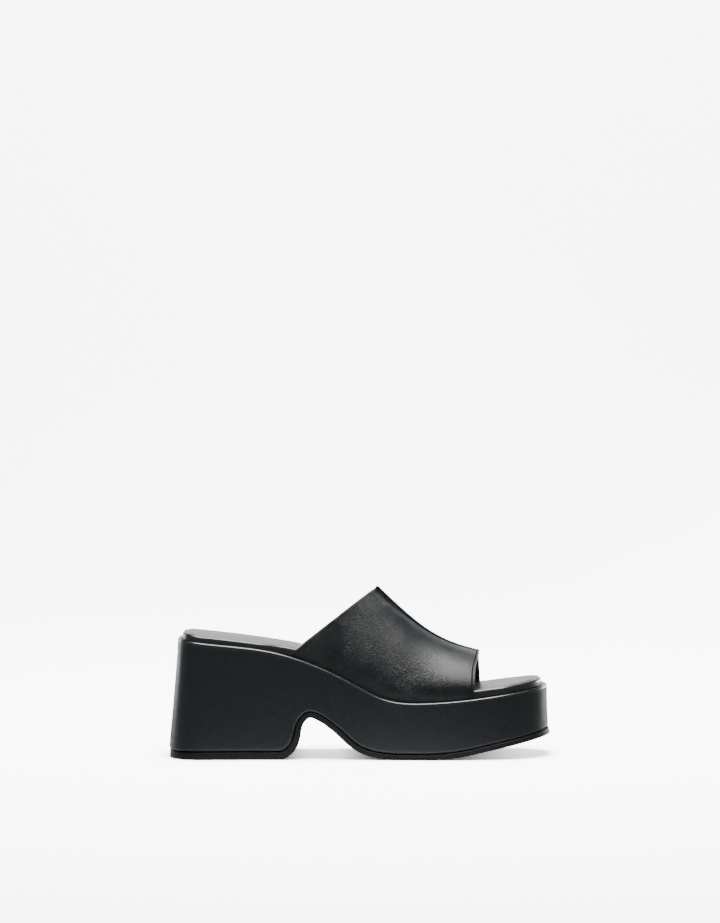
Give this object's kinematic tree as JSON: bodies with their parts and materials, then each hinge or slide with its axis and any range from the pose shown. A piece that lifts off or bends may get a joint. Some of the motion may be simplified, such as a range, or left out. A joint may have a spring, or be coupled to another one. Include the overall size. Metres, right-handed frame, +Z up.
{
  "type": "platform mule",
  "caption": "Open-toe, open-back platform mule with a slanted hollow upper, a raised crest seam, a padded footbed and a leather-covered block with a high heel, an arch and a toe spring.",
  "frame": {"origin": "middle of the shoe's bounding box, on the plane the shoe stands on", "axes": "+X from heel to toe, +Y to the inner side of the foot, +Z up"},
  "size_m": [0.255, 0.087, 0.1133],
  "materials": {
    "outsole": "matt moulded rubber",
    "platform": "smooth black leather, satin",
    "footbed": "smooth black leather over a pad, satin",
    "upper": "smooth black leather with a fine grain, satin"
  },
  "bodies": {
    "root": {"outsole": "outsole", "platform": "platform", "footbed": "footbed", "upper": "upper"}
  },
  "joints": []
}
